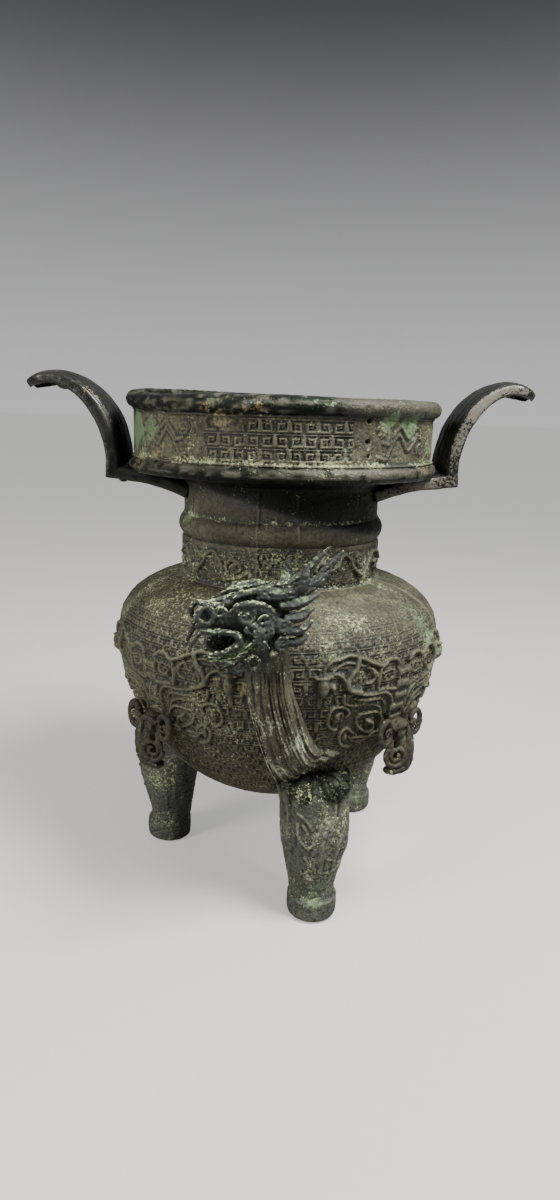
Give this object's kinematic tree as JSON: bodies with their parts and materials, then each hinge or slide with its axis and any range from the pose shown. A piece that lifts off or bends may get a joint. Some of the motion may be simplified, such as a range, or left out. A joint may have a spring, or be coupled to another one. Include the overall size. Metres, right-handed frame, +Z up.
{
  "type": "bronze ding vessel",
  "caption": "Archaistic bronze ding: round-bellied vessel on hoofed legs, waisted neck, wide open drum, upswept strap handles, a dragon and beast masks in relief.",
  "frame": {"origin": "centre of the bounding box's base, on the plane of the feet", "axes": "+Z up, +X to the right handle seen from the front, -Y towards the dragon"},
  "size_m": [0.263, 0.2022, 0.2692],
  "materials": {
    "body_bronze": "olive-brown cast bronze, pale tan and verdigris dust in the recesses, green patches on the drum",
    "handle_bronze": "near-black green bronze, half-gloss along the handled edges",
    "leg_bronze": "blue-grey green bronze with pale streaks and dust",
    "ornament_bronze": "dark green-black bronze, pale green dust on high spots"
  },
  "bodies": {
    "root": {"vessel": "body_bronze", "handle_right": "handle_bronze", "handle_left": "handle_bronze", "leg_front": "leg_bronze", "leg_left": "leg_bronze", "leg_rear": "leg_bronze", "beast_head_right": "ornament_bronze", "beast_head_left": "ornament_bronze", "dragon_head": "ornament_bronze"}
  },
  "joints": []
}
